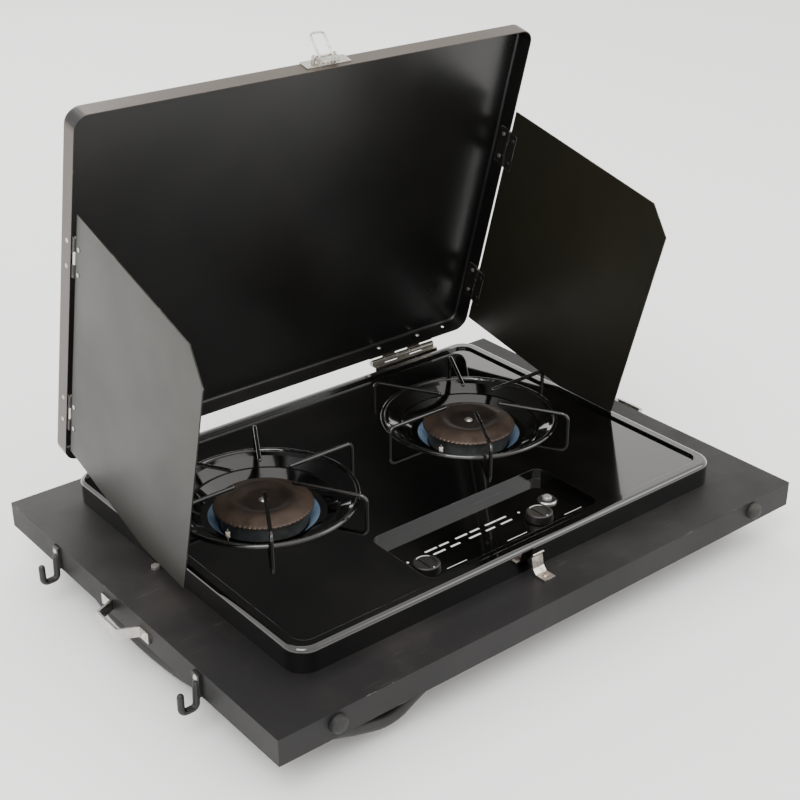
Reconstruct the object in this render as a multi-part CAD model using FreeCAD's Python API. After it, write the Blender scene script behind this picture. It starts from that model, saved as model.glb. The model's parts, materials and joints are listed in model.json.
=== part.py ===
"""Two-burner outdoor gas camping stove on a flanged carrying tray.

Millimetres.  +X is the cook's right, +Y the hinge side, +Z up.  The origin is the
centre of the underside of the burner box, on which the stove stands.  The lid is
open on its folding wind screens.
"""
import FreeCAD
import Part
import os
import math
from FreeCAD import Vector as V

os.makedirs("parts", exist_ok=True)

# ---------------------------------------------------------------- driving sizes
STAND = 72.0            # underside of the burner box to the top of the tray
TRAY_W = 660.0          # tray, left to right
TRAY_D = 485.0          # tray, front to back
TRAY_FLANGE = 27.3      # depth of the tray's turned-down edge
SHEET = 1.2             # tray sheet
ENAMEL = 1.0            # cooktop sheet
PAN_SHEET = 1.0         # burner box sheet

COOK_W = 543.0          # cooktop, left to right
COOK_D = 402.0          # cooktop, front to back
COOK_Y = 12.2           # middle of the cooktop, behind the tray's middle
RIM_H = 25.5            # rim of the cooktop above the tray
DECK_H = 22.6           # flat deck of the cooktop above the tray
RIM_W = 12.0            # width of the rolled rim
RIM_R = 5.0             # roll of the rim's outer edge
COOK_R = 22.0           # corner radius of the cooktop

BURNER_X = 139.6        # burner axis, each side of the middle
BURNER_Y = 56.6
BEAD_R = 97.0           # pressed bead round each well
BEAD_WIRE = 2.6
STEP_R = 76.0           # step half way down the well
STEP_DROP = 10.5
WELL_FLOOR_H = 3.0      # floor of the well above the tray
WELL_FLOOR_R = 65.0
WELL_HOLE_R = 57.5

CAP_R = 51.9            # burner cap
CAP_EDGE_H = 12.4       # underside of the cap's edge above the tray
CAP_EDGE = 1.2
CREST_R = 33.0
CREST_H = 21.0
DISH_R = 22.0
DISH_H = 17.6
CAP_WALL = 1.6
CUP_R = 46.0            # burner base under the cap
CUP_WALL = 2.0
CUP_FLOOR_H = -18.0
NECK_R = 14.0

PANEL_X0 = -107.5       # control recess in the deck
PANEL_X1 = 117.0
PANEL_Y0 = -168.0
PANEL_Y1 = -78.0
PANEL_H = 11.3          # floor of the recess above the tray
PANEL_R = 10.0

KNOB_X = (-88.8, 58.9)
KNOB_Y = -141.0
KNOB_R = 14.2
KNOB_FACE_H = 20.7      # top of the knob above the tray
STEM_R = 3.0
MANIFOLD_R = 6.5
MANIFOLD_H = -40.0

BUTTON_X = 90.0
BUTTON_Y = -120.3
BUTTON_R = 5.0
BUTTON_TOP_H = 17.0
BUTTON_TRAVEL = 3.0

HOOK_WIRE = 3.3         # cast hooks on the tray's ends
HOOK_OUT = 19.0
HOOK_LOW = 38.6
HOOK_TIP = 21.0

WIRE_R = 2.15           # pan support wire
FINGER_TOP_H = 44.3     # axis of the support wires above the tray
FINGER_OUT = 114.0      # leg, from the burner axis
FINGER_IN = 35.0        # tip, from the burner axis
FINGER_BEND = 7.0
FINGERS = 6

LID_W = 551.6
LID_L = 399.8
LID_T = 20.7
LID_SHEET = 1.0
LID_R = 16.0
LID_LEAN = 14.9         # degrees the open lid leans over the cooktop
LID_Y = 218.4           # lower edge of the lid's lip
LID_H = 38.9

HINGE_Y = 223.3         # lid hinge axis
HINGE_H = 29.7
HINGE_X = 178.0         # middle of each lid hinge
HINGE_L = 96.0
HINGE_BARREL = 3.6
HINGE_PIN = 1.6
LEAF = 1.2

SCREEN_TOP_S = 304.0    # wind screen outline: along the lid, out from the lid
SCREEN_TIP_S = 311.6
SCREEN_TIP_D = 224.0
SCREEN_NOSE_S = 286.0
SCREEN_REACH = 253.0
SCREEN_TOE_S = 54.6
SCREEN_HEEL_S = 33.0
SCREEN_HEEL_D = 171.5
SCREEN_LOW_S = 20.3
SCREEN_SHEET = 1.2
SCREEN_SPLAY = (4.6, -1.7)   # degrees outwards at rest, left and right
SCREEN_HINGE_S = (68.0, 255.0)
SCREEN_HINGE_L = 44.0
SCREEN_BARREL = 2.2
SCREEN_PIN = 1.0

LATCH_X = 4.0
LATCH_W = 54.0
LATCH_D = 14.0
LATCH_PLATE = 1.2
LEVER_W = 24.0
LEVER_L = 15.0
LEVER_H = 7.0
BAIL_R = 1.1
BAIL_W = 18.0
BAIL_L = 27.0

BOX_X = 262.0           # burner box walls
BOX_Y0 = -168.0
BOX_Y1 = 205.0
BOX_FLANGE = 22.0
BOX_R = 14.0

RUN = 0.05              # radial clearance of a turning pin
GAP = 0.3               # clearance between parts that pass each other

HOSE_R = 6.4
HOSE_X = -309.0
HOSE_Y = -228.0
INLET_Y = 150.0
INLET_H = -40.0

COOK_X = COOK_W / 2
COOK_Y0 = COOK_Y - COOK_D / 2
COOK_Y1 = COOK_Y + COOK_D / 2
TRAY_X = TRAY_W / 2
TRAY_Y = TRAY_D / 2
X, Y, Z = V(1, 0, 0), V(0, 1, 0), V(0, 0, 1)


# ---------------------------------------------------------------- helpers
def up(h):
    """Height above the tray's top face, in the stove's frame."""
    return STAND + h


def save(node, *solids):
    """Write one node: one solid, or a group of separate solids."""
    flat = []
    for item in solids:
        flat.extend(item if isinstance(item, (list, tuple)) else [item])
    shape = flat[0] if len(flat) == 1 else Part.makeCompound(flat)
    shape.exportStep("parts/%s.step" % node)


def block(x0, x1, y0, y1, z0, z1):
    return Part.makeBox(x1 - x0, y1 - y0, z1 - z0, V(x0, y0, z0))


def rod(r, p0, p1):
    """Round bar of radius r from p0 to p1."""
    axis = p1.sub(p0)
    return Part.makeCylinder(r, axis.Length, p0, axis)


def tube(r_out, r_in, p0, p1):
    return rod(r_out, p0, p1).cut(rod(r_in, p0, p1))


def rounded(x0, x1, y0, y1, z0, z1, r):
    """Upright block with its four vertical edges rounded."""
    solid = block(x0, x1, y0, y1, z0, z1)
    edges = [e for e in solid.Edges if abs(e.tangentAt(e.FirstParameter).z) > 0.99]
    return solid.makeFillet(r, edges)


def turned(profile, x, y):
    """Solid of revolution about the upright axis through x, y; profile is (r, z) points."""
    points = [V(x + r, y, z) for r, z in profile]
    face = Part.Face(Part.makePolygon(points + [points[0]]))
    return face.revolve(V(x, y, 0), Z, 360)


def prism(points, direction):
    """Straight prism on a closed outline of points."""
    return Part.Face(Part.makePolygon(points + [points[0]])).extrude(direction)


def ribbon(points, thickness):
    """Closed outline of a bent strip: each (a, b) point of the centre line, mitred."""
    left, right = [], []
    for i, (a, b) in enumerate(points):
        before = points[max(i - 1, 0)]
        after = points[min(i + 1, len(points) - 1)]
        d0 = V(a - before[0], b - before[1], 0) if i > 0 else None
        d1 = V(after[0] - a, after[1] - b, 0) if i < len(points) - 1 else None
        d0 = d0 or d1
        d1 = d1 or d0
        n0 = V(-d0.y, d0.x, 0).normalize()
        n1 = V(-d1.y, d1.x, 0).normalize()
        mid = n0.add(n1)
        mid.normalize()
        reach = thickness / 2 / max(mid.dot(n0), 0.3)
        left.append((a + mid.x * reach, b + mid.y * reach))
        right.append((a - mid.x * reach, b - mid.y * reach))
    return left + right[::-1]


def bent_path(points, bends):
    """Straight runs joined by tangent arcs, one bend radius for each inner point."""
    edges = []
    start = points[0]
    for i in range(1, len(points) - 1):
        into = points[i].sub(points[i - 1]).normalize()
        out = points[i + 1].sub(points[i]).normalize()
        turn = math.acos(max(-1.0, min(1.0, into.dot(out))))
        cut = bends[i - 1] * math.tan(turn / 2)
        a = points[i].sub(into * cut)
        b = points[i].add(out * cut)
        inward = out.sub(into).normalize()
        centre = points[i].add(inward * (bends[i - 1] / math.cos(turn / 2)))
        middle = centre.sub(inward * bends[i - 1])
        if a.distanceToPoint(start) > 1e-6:
            edges.append(Part.LineSegment(start, a).toShape())
        edges.append(Part.Arc(a, middle, b).toShape())
        start = b
    edges.append(Part.LineSegment(start, points[-1]).toShape())
    return Part.Wire(edges)


def bent_rod(points, bends, r):
    """Round bar of radius r swept along a bent path."""
    path = bent_path(points, bends)
    ring = Part.Wire(Part.makeCircle(r, points[0], points[1].sub(points[0])))
    return path.makePipeShell([ring], True, True)


def free_bends(points):
    """The largest bend at each inner point: 0.45 of the shorter run beside it."""
    found = []
    for i in range(1, len(points) - 1):
        a = points[i].sub(points[i - 1])
        b = points[i + 1].sub(points[i])
        turn = a.getAngle(b)
        found.append(0.45 * min(a.Length, b.Length) / math.tan(turn / 2))
    return found


def dome_screw(head_r, head_h, shank_r, seat, outward, grip):
    """Low domed head standing on its seat, with a shank that goes through the sheets."""
    out = V(outward).normalize()
    ball_r = (head_r ** 2 + head_h ** 2) / (2 * head_h)
    ball = Part.makeSphere(ball_r, seat.add(out * (head_h - ball_r)))
    head = ball.common(rod(head_r, seat, seat.add(out * head_h)))
    return head.fuse(rod(shank_r, seat.sub(out * grip), seat)).removeSplitter()


def lid_place():
    """Lid frame: x across, y along the lid from its hinge end, z out of the open side."""
    lean = math.radians(LID_LEAN)
    along = V(0, -math.sin(lean), math.cos(lean))
    inward = V(0, -math.cos(lean), -math.sin(lean))
    m = FreeCAD.Matrix(
        1, along.x, inward.x, 0,
        0, along.y, inward.y, LID_Y,
        0, along.z, inward.z, up(LID_H),
        0, 0, 0, 1)
    return FreeCAD.Placement(m)


LID = lid_place()
LID_RIVETS = []
LID_LEAVES = []
SCREEN_PINS = []


def on_lid(*solids):
    """Put solids made in the lid's frame where the open lid is."""
    placed = []
    for solid in solids:
        moved = solid.copy()
        moved.Placement = LID.multiply(moved.Placement)
        placed.append(moved)
    return placed


# ---------------------------------------------------------------- tray and box
def box_bolt_places():
    side_x = COOK_X + 5.5
    rear_y = COOK_Y1 + 9.0
    return [(-side_x, 40.0), (side_x, 40.0), (-HINGE_X + 90, rear_y), (HINGE_X - 90, rear_y)]


BOLT_R = 2.5


def make_tray():
    solid = block(-TRAY_X, TRAY_X, -TRAY_Y, TRAY_Y, up(-TRAY_FLANGE), up(0))
    solid = solid.cut(block(-TRAY_X + SHEET, TRAY_X - SHEET, -TRAY_Y + SHEET, TRAY_Y - SHEET,
                            up(-TRAY_FLANGE), up(-SHEET)))
    solid = solid.cut(rounded(-BOX_X, BOX_X, BOX_Y0, BOX_Y1, up(-SHEET) - 1, up(0) + 1, BOX_R))
    for x, y in box_bolt_places():
        solid = solid.cut(rod(BOLT_R, V(x, y, up(-SHEET) - 1), V(x, y, up(1))))
    for x, y, z, d in flange_holes():
        solid = solid.cut(rod(d, V(x, y, z).sub(X * 5), V(x, y, z).add(X * 5)))
    for x, z in bumper_places():
        solid = solid.cut(rod(BUMPER_STUD, V(x, -TRAY_Y - 1, z), V(x, -TRAY_Y + SHEET + 1, z)))
    solid = solid.cut(rod(KEEPER_RIVET, V(KEEPER_X, KEEPER_Y, up(-SHEET) - 1),
                          V(KEEPER_X, KEEPER_Y, up(1))))
    save("tray", solid)


def make_burner_box():
    top = up(-SHEET)
    outer = rounded(-BOX_X, BOX_X, BOX_Y0, BOX_Y1, 0, top, BOX_R)
    inner = rounded(-BOX_X + PAN_SHEET, BOX_X - PAN_SHEET, BOX_Y0 + PAN_SHEET, BOX_Y1 - PAN_SHEET,
                    PAN_SHEET, top, BOX_R - PAN_SHEET)
    flange = rounded(-BOX_X - BOX_FLANGE, BOX_X + BOX_FLANGE, BOX_Y0 - BOX_FLANGE,
                     BOX_Y1 + BOX_FLANGE, top - PAN_SHEET, top, BOX_R + BOX_FLANGE)
    solid = outer.fuse(flange).cut(inner)
    for x, y in box_bolt_places():
        solid = solid.cut(rod(BOLT_R, V(x, y, top - 3), V(x, y, top + 1)))
    solid = solid.cut(rod(FITTING_R, V(-BOX_X - 2, INLET_Y, up(INLET_H)),
                          V(-BOX_X + 2, INLET_Y, up(INLET_H))))
    for side in (-1, 1):
        for place in vent_places(side):
            solid = solid.cut(place)
    save("burner_box", solid.removeSplitter())


def vent_places(side):
    """Slots in the rear wall that let air in."""
    slots = []
    for i in range(4):
        x = side * (70 + 28 * i)
        slots.append(block(x - 9, x + 9, BOX_Y1 - 3, BOX_Y1 + 3, 30, 34))
    return slots


def make_box_bolts():
    """Hexagon bolt through tray and box flange, with its nut below."""
    bolts, nuts = [], []
    under = up(-SHEET) - PAN_SHEET
    for x, y in box_bolt_places():
        head = prism([V(x + 4.4 * math.cos(math.radians(a)), y + 4.4 * math.sin(math.radians(a)), up(0))
                      for a in range(0, 360, 60)], Z * 3.2)
        bolts.append(head.fuse(rod(BOLT_R, V(x, y, under - 6), V(x, y, up(0)))))
        nut = prism([V(x + 4.6 * math.cos(math.radians(a)), y + 4.6 * math.sin(math.radians(a)),
                       under - 4) for a in range(0, 360, 60)], Z * 4)
        nuts.append(nut.cut(rod(BOLT_R, V(x, y, under - 6), V(x, y, under))))
    save("box_bolts", bolts)
    save("box_nuts", nuts)


# ---------------------------------------------------------------- cooktop
def cooktop_form(off):
    """The pressed shape; off shrinks it evenly, to hollow it out from below."""
    top = up(RIM_H) - off
    deck = up(DECK_H) - off
    form = rounded(-COOK_X + off, COOK_X - off, COOK_Y0 + off, COOK_Y1 - off, up(0), top, COOK_R - off)
    rim_edges = [e for e in form.Edges if e.BoundBox.ZMin > top - 0.01]
    form = form.makeFillet(RIM_R - off, rim_edges)
    form = form.cut(rounded(-COOK_X + RIM_W - off, COOK_X - RIM_W + off, COOK_Y0 + RIM_W - off,
                            COOK_Y1 - RIM_W + off, deck, top + 5, COOK_R - RIM_W + off + 4))
    form = form.cut(rounded(PANEL_X0 - off, PANEL_X1 + off, PANEL_Y0 - off, PANEL_Y1 + off,
                            up(PANEL_H) - off, top + 5, PANEL_R + off))
    floor = up(WELL_FLOOR_H) - off
    step = up(DECK_H - STEP_DROP) - off
    for side in (-1, 1):
        well = [(0, top + 5), (BEAD_R - 2 + off, top + 5), (BEAD_R - 2 + off, deck + off),
                (BEAD_R - 7 + off, deck - 3 + off * 0.5), (STEP_R + 3 + off, step),
                (STEP_R + off, step), (WELL_FLOOR_R + off, floor), (0, floor)]
        form = form.cut(turned(well, side * BURNER_X, BURNER_Y))
    return form


def make_cooktop():
    skin = cooktop_form(0.0)
    for side in (-1, 1):
        centre = V(side * BURNER_X, BURNER_Y, up(DECK_H) - 0.2)
        bead = Part.makeTorus(BEAD_R, BEAD_WIRE, centre, Z)
        above = block(-COOK_X, COOK_X, COOK_Y0, COOK_Y1, up(DECK_H) - 0.8, up(RIM_H) + 9)
        skin = skin.fuse(bead.common(above))
    skin = skin.cut(cooktop_form(ENAMEL))
    for side in (-1, 1):
        x = side * BURNER_X
        skin = skin.cut(rod(WELL_HOLE_R, V(x, BURNER_Y, up(0)), V(x, BURNER_Y, up(10))))
        for leg in finger_legs(side):
            skin = skin.cut(rod(WIRE_R, V(leg.x, leg.y, up(DECK_H) - 5), V(leg.x, leg.y, up(DECK_H) + 9)))
        for sx in (HINGE_X - 30, HINGE_X + 30):
            skin = skin.cut(rod(HINGE_SCREW, V(side * sx, COOK_Y1 - 3, up(HINGE_SCREW_H)),
                                V(side * sx, COOK_Y1 + 3, up(HINGE_SCREW_H))))
    for x in KNOB_X:
        skin = skin.cut(rod(STEM_R + 2, V(x, KNOB_Y, up(0)), V(x, KNOB_Y, up(PANEL_H) + 5)))
    skin = skin.cut(rod(COLLAR_R, V(BUTTON_X, BUTTON_Y, up(0)), V(BUTTON_X, BUTTON_Y, up(PANEL_H) + 5)))
    save("cooktop", skin.removeSplitter())


# ---------------------------------------------------------------- burners
def cap_profile():
    """Section of the cap: outer face from the edge to the middle, then the underside."""
    edge = up(CAP_EDGE_H)
    slope = (CREST_H - CAP_EDGE_H - CAP_EDGE) / (CAP_R - CREST_R)
    top = [(CAP_R, edge), (CAP_R, edge + CAP_EDGE), (CREST_R + 2, up(CREST_H) - slope * 2),
           (CREST_R, up(CREST_H)), (CREST_R - 2, up(CREST_H)), (DISH_R, up(DISH_H)), (0, up(DISH_H))]
    under = [(0, up(DISH_H) - CAP_WALL), (DISH_R - 1, up(DISH_H) - CAP_WALL),
             (CREST_R - 2.6, up(CREST_H) - CAP_WALL), (CREST_R + 1, up(CREST_H) - CAP_WALL - slope)]
    return top, under


CAP_SCREWS = []
PUSH_NUTS = []


def make_burner(side, name):
    x = side * BURNER_X
    top, under = cap_profile()
    cap = turned(top + under, x, BURNER_Y)
    screw = dome_screw(5.0, 2.2, 2.0, V(x, BURNER_Y, up(DISH_H)), Z, 12.0)
    cap = cap.cut(rod(2.0, V(x, BURNER_Y, up(0)), V(x, BURNER_Y, up(DISH_H) + 3)))
    save("burner_cap_" + name, cap)
    CAP_SCREWS.append(screw)
    above = [(0, up(CREST_H) + 5)] + [(CAP_R + 5, up(CREST_H) + 5), (CAP_R + 5, up(CAP_EDGE_H))]
    above += [(CAP_R, up(CAP_EDGE_H))] + under[::-1]
    rim = up(CREST_H)
    floor = up(CUP_FLOOR_H)
    cup = [(0, PAN_SHEET), (NECK_R, PAN_SHEET), (NECK_R, floor - 4), (CUP_R - 14, floor - 4),
           (CUP_R, floor + 12), (CUP_R, rim), (CUP_R - CUP_WALL, rim), (CUP_R - CUP_WALL, floor + 13),
           (CUP_R - 15, floor), (7, floor), (7, up(DISH_H) - 3), (0, up(DISH_H) - 3)]
    base = turned(cup, x, BURNER_Y).cut(turned(above, x, BURNER_Y))
    base = base.cut(rod(2.0, V(x, BURNER_Y, up(0)), V(x, BURNER_Y, up(DISH_H) + 3)))
    mouth, tip = venturi_ends(side)
    base = base.cut(rod(VENTURI_R, mouth, tip))
    save("burner_base_" + name, base)
    liner = [(BOWL_R, up(WELL_FLOOR_H) - ENAMEL), (BOWL_R, up(WELL_FLOOR_H) - ENAMEL - 0.8),
             (WELL_HOLE_R + 1, up(WELL_FLOOR_H) - ENAMEL - 0.8), (CUP_R + 0.6, up(-8.8)),
             (CUP_R + 0.6, up(-8.0)), (WELL_HOLE_R + 1.3, up(WELL_FLOOR_H) - ENAMEL)]
    ring = turned(liner, x, BURNER_Y)
    ex, ey = electrode_place(side)
    ring = ring.cut(rod(CERAMIC_R, V(ex, ey, up(-12)), V(ex, ey, up(4))))
    save("burner_bowl_" + name, ring)


BOWL_R = 67.0
VENTURI_R = 8.0
CERAMIC_R = 2.4
VENTURI_H = -31.0


def venturi_ends(side):
    """Mixing tube axis: from the air mouth behind the valve to the burner's neck."""
    index = 0 if side < 0 else 1
    start = V(KNOB_X[index], KNOB_Y + 34, up(VENTURI_H))
    centre = V(side * BURNER_X, BURNER_Y, up(VENTURI_H))
    toward = centre.sub(start).normalize()
    return start, centre.sub(toward * (NECK_R - 4))


def make_venturi(side, name):
    start, end = venturi_ends(side)
    axis = end.sub(start).normalize()
    pipe = tube(VENTURI_R, VENTURI_R - 1.5, start, end)
    bell = Part.makeCone(VENTURI_R + 3, VENTURI_R, 14, start, axis)
    bell = bell.cut(Part.makeCone(VENTURI_R + 1.5, VENTURI_R - 1.5, 14, start, axis))
    save("venturi_tube_" + name, pipe.cut(rod(VENTURI_R + 4, start, start.add(axis * 14))).fuse(bell))


def electrode_place(side):
    angle = math.radians(195)
    r = (CAP_R + WELL_HOLE_R) / 2 + 0.2
    return side * BURNER_X + r * math.cos(angle), BURNER_Y + r * math.sin(angle)


def make_electrodes():
    rods, pins = [], []
    for side in (-1, 1):
        x, y = electrode_place(side)
        rods.append(rod(CERAMIC_R, V(x, y, up(-20)), V(x, y, up(6))).cut(
            rod(0.8, V(x, y, up(-21)), V(x, y, up(7)))))
        pins.append(rod(0.8, V(x, y, up(-24)), V(x, y, up(9.5))))
    save("electrode_ceramics", rods)
    save("electrode_pins", pins)


# ---------------------------------------------------------------- gas train
VALVE_R = 9.0


def make_gas_train():
    z = up(MANIFOLD_H)
    left = -228.0
    right = KNOB_X[1] + 16
    pipe = tube(MANIFOLD_R, MANIFOLD_R - 1.5, V(left, KNOB_Y, z), V(right, KNOB_Y, z))
    for x in KNOB_X:
        pipe = pipe.cut(rod(SPIGOT_R, V(x, KNOB_Y, z), V(x, KNOB_Y, z + 10)))
    save("manifold", pipe)
    save("manifold_plug", rod(MANIFOLD_R + 1.5, V(right, KNOB_Y, z), V(right + 5, KNOB_Y, z)).fuse(
        rod(MANIFOLD_R - 1.5, V(right - 5, KNOB_Y, z), V(right, KNOB_Y, z))))
    corner = [V(-BOX_X + 10, INLET_Y, z), V(left - 12, INLET_Y, z), V(left - 12, KNOB_Y, z),
              V(left, KNOB_Y, z)]
    save("supply_tube", bent_rod(corner, [10.0, 10.0], 3.6))
    fitting = rod(FITTING_R, V(-BOX_X - 8, INLET_Y, z), V(-BOX_X + 10, INLET_Y, z))
    collar = prism(hexagon(V(-BOX_X - 8, INLET_Y, z), 8.0), X * 8)
    save("inlet_fitting", collar.fuse(fitting).removeSplitter())
    valves, jets = [], []
    for i, x in enumerate(KNOB_X):
        body = rod(VALVE_R, V(x, KNOB_Y, up(-30)), V(x, KNOB_Y, up(-4)))
        body = body.fuse(rod(SPIGOT_R, V(x, KNOB_Y, z + MANIFOLD_R - 1.5), V(x, KNOB_Y, up(-30))))
        body = body.cut(rod(STEM_R + RUN, V(x, KNOB_Y, up(-24)), V(x, KNOB_Y, up(0))))
        mouth, end = venturi_ends(-1 if i == 0 else 1)
        axis = end.sub(mouth).normalize()
        heart = V(x, KNOB_Y, up(VENTURI_H + 4))
        hood = V(mouth.x, mouth.y, up(VENTURI_H + 4))
        toward = hood.sub(heart).normalize()
        body = body.fuse(rod(4.5, heart, heart.add(toward * 18)))
        body = body.cut(rod(STEM_R + RUN, V(x, KNOB_Y, up(-24)), V(x, KNOB_Y, up(0))))
        body = body.cut(rod(2.0, heart.add(toward * 12), heart.add(toward * 19)))
        valves.append(body.removeSplitter())
        jets.append(rod(2.0, heart.add(toward * 12), heart.add(toward * 18)).fuse(
            Part.makeCone(3.6, 2.2, 5, heart.add(toward * 18), toward)))
    save("gas_valves", valves)
    save("gas_jets", jets)


SPIGOT_R = 3.5
FITTING_R = 6.0


def hexagon(centre, r):
    """Corners of a hexagon square to X."""
    return [V(centre.x, centre.y + r * math.cos(math.radians(a)), centre.z + r * math.sin(math.radians(a)))
            for a in range(0, 360, 60)]


def make_knob(x, name):
    base = up(PANEL_H) + 0.8
    face = up(KNOB_FACE_H)
    knob = turned([(0, base), (KNOB_R, base), (KNOB_R, base + 2.2), (KNOB_R - 0.9, face - 0.8),
                   (KNOB_R - 1.9, face), (0, face)], x, KNOB_Y)
    dish = rod(KNOB_R - 4.4, V(x, KNOB_Y, face - 1.2), V(x, KNOB_Y, face + 1))
    grip = block(x - 2.6, x + 2.6, KNOB_Y - KNOB_R, KNOB_Y + KNOB_R, face - 2, face + 2)
    knob = knob.cut(dish.cut(grip))
    knob = knob.cut(rod(STEM_R, V(x, KNOB_Y, base - 1), V(x, KNOB_Y, base + 5)))
    save("knob_" + name, knob)
    save("valve_stem_" + name, rod(STEM_R, V(x, KNOB_Y, up(-23.5)), V(x, KNOB_Y, base + 5)))


COLLAR_R = 8.0


def make_igniter():
    floor = up(PANEL_H)
    at = V(BUTTON_X, BUTTON_Y, 0)
    bore = rod(BUTTON_R + RUN * 2, at.add(Z * (floor - 12)), at.add(Z * (floor + 9)))
    body = rod(COLLAR_R + 3, at.add(Z * (floor - 38)), at.add(Z * (floor - ENAMEL)))
    body = body.fuse(rod(COLLAR_R, at.add(Z * (floor - ENAMEL)), at.add(Z * (floor + 2.2)))).cut(bore)
    save("igniter_body", body)
    nut = turned([(COLLAR_R, floor), (COLLAR_R + 2.4, floor), (COLLAR_R + 2.4, floor + 1.2),
                  (COLLAR_R + 1.2, floor + 2.2), (COLLAR_R, floor + 2.2)], BUTTON_X, BUTTON_Y)
    save("igniter_nut", nut)
    top = up(BUTTON_TOP_H)
    low = floor - 12 + BUTTON_TRAVEL + GAP
    button = turned([(0, low), (BUTTON_R, low), (BUTTON_R, top - 1.2), (BUTTON_R - 1.2, top), (0, top)],
                    BUTTON_X, BUTTON_Y)
    save("igniter_button", button)


# ---------------------------------------------------------------- pan supports
def finger_angles():
    return [360.0 / FINGERS * i for i in range(FINGERS)]


def finger_legs(side):
    legs = []
    for a in finger_angles():
        t = math.radians(a)
        legs.append(V(side * BURNER_X + FINGER_OUT * math.cos(t), BURNER_Y + FINGER_OUT * math.sin(t), 0))
    return legs


def make_pan_supports(side, name):
    fingers, nuts = [], []
    under = up(DECK_H) - ENAMEL
    for a in finger_angles():
        t = math.radians(a)
        out = V(math.cos(t), math.sin(t), 0)
        axis = V(side * BURNER_X, BURNER_Y, 0)
        leg = axis.add(out * FINGER_OUT)
        foot = V(leg.x, leg.y, under - 4)
        bend = V(leg.x, leg.y, up(FINGER_TOP_H))
        tip = axis.add(out * FINGER_IN).add(Z * up(FINGER_TOP_H))
        wire = bent_rod([foot, bend, tip], [FINGER_BEND], WIRE_R)
        fingers.append(wire.fuse(Part.makeSphere(WIRE_R, tip)))
        ring = tube(WIRE_R + 3, WIRE_R, V(leg.x, leg.y, under - 1.2), V(leg.x, leg.y, under))
        nuts.append(ring)
    save("pan_support_" + name, fingers)
    PUSH_NUTS.extend(nuts)


# ---------------------------------------------------------------- tray fittings
HOOK_Y = (140.0, -121.0)
LOOP_Y = 4.0
BUMPER_STUD = 2.0
KEEPER_X = 3.0
KEEPER_Y = -208.0
KEEPER_RIVET = 1.9
KEEPER_W = 14.0
SMALL_SCREW = 1.6


def bumper_places():
    return [(-270.5, up(-12.0)), (270.5, up(-12.0))]


def hook_screws():
    return [-7.5]


def loop_screws():
    return [LOOP_Y + 35.5, LOOP_Y - 35.5]


def flange_holes():
    """Screw holes in the left and right flanges: x, y, z and radius."""
    holes = []
    for side in (-1, 1):
        x = side * TRAY_X
        for y in HOOK_Y:
            for h in hook_screws():
                holes.append((x, y, up(h), SMALL_SCREW))
        for y in loop_screws():
            holes.append((x, y, up(-14.0), SMALL_SCREW))
    return holes


def make_side_fittings():
    hooks, loops, hook_pins, loop_pins = [], [], [], []
    for side in (-1, 1):
        face = side * TRAY_X
        out = X * side
        for y in HOOK_Y:
            plate = block(min(face, face + side * 3), max(face, face + side * 3),
                          y - 5.5, y + 5.5, up(-26), up(-3))
            path = [V(face + side * 3, y, up(-15)), V(face + side * 4, y, up(-HOOK_LOW)),
                    V(face + side * HOOK_OUT, y, up(-HOOK_LOW)), V(face + side * HOOK_OUT, y, up(-HOOK_TIP))]
            hook = bent_rod(path, [5.0, 5.0], HOOK_WIRE)
            tip = Part.makeSphere(HOOK_WIRE, path[-1])
            top = Part.makeSphere(HOOK_WIRE, path[0])
            hook = plate.fuse(hook).fuse(tip).fuse(top)
            hook = hook.cut(block(min(face, face - side * 9), max(face, face - side * 9),
                                  y - 9, y + 9, up(-60), up(0)))
            for h in hook_screws():
                hook = hook.cut(rod(SMALL_SCREW, V(face - side * 9, y, up(h)), V(face + side * 9, y, up(h))))
                hook = hook.cut(rod(3.2, V(face + side * 3, y, up(h)), V(face + side * 9, y, up(h))))
                hook_pins.append(dome_screw(3.0, 1.6, SMALL_SCREW, V(face + side * 3, y, up(h)), out, 8.0))
            hooks.append(hook.removeSplitter())
        strap = ribbon([(face + side * 1.25, LOOP_Y + 43), (face + side * 1.25, LOOP_Y + 27),
                        (face + side * 20, LOOP_Y + 18), (face + side * 20, LOOP_Y - 18),
                        (face + side * 1.25, LOOP_Y - 27), (face + side * 1.25, LOOP_Y - 43)], 2.5)
        loop = prism([V(a, b, up(-19.5)) for a, b in strap], Z * 11)
        for y in loop_screws():
            loop = loop.cut(rod(SMALL_SCREW, V(face - side * 9, y, up(-14)), V(face + side * 9, y, up(-14))))
            loop_pins.append(dome_screw(3.6, 2.2, SMALL_SCREW, V(face + side * 2.5, y, up(-14)), out, 8.0))
        loops.append(loop)
    save("hanging_hooks", hooks)
    save("tie_loops", loops)
    save("flange_screws", hook_pins + loop_pins)


def make_bumpers():
    domes = []
    for x, z in bumper_places():
        face = -TRAY_Y
        profile = [(0, 0), (9.0, 0), (9.0, 2.0), (8.2, 5.0), (5.6, 7.4), (0, 8.4)]
        points = [V(x + r, face - h, z) for r, h in profile]
        dome = Part.Face(Part.makePolygon(points + [points[0]])).revolve(V(x, face, z), Y, 360)
        stud = rod(BUMPER_STUD, V(x, face, z), V(x, face + SHEET + 3, z))
        barb = rod(BUMPER_STUD + 1.8, V(x, face + SHEET, z), V(x, face + SHEET + 3, z))
        domes.append(dome.fuse(stud).fuse(barb))
    save("rubber_bumpers", domes)


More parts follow.
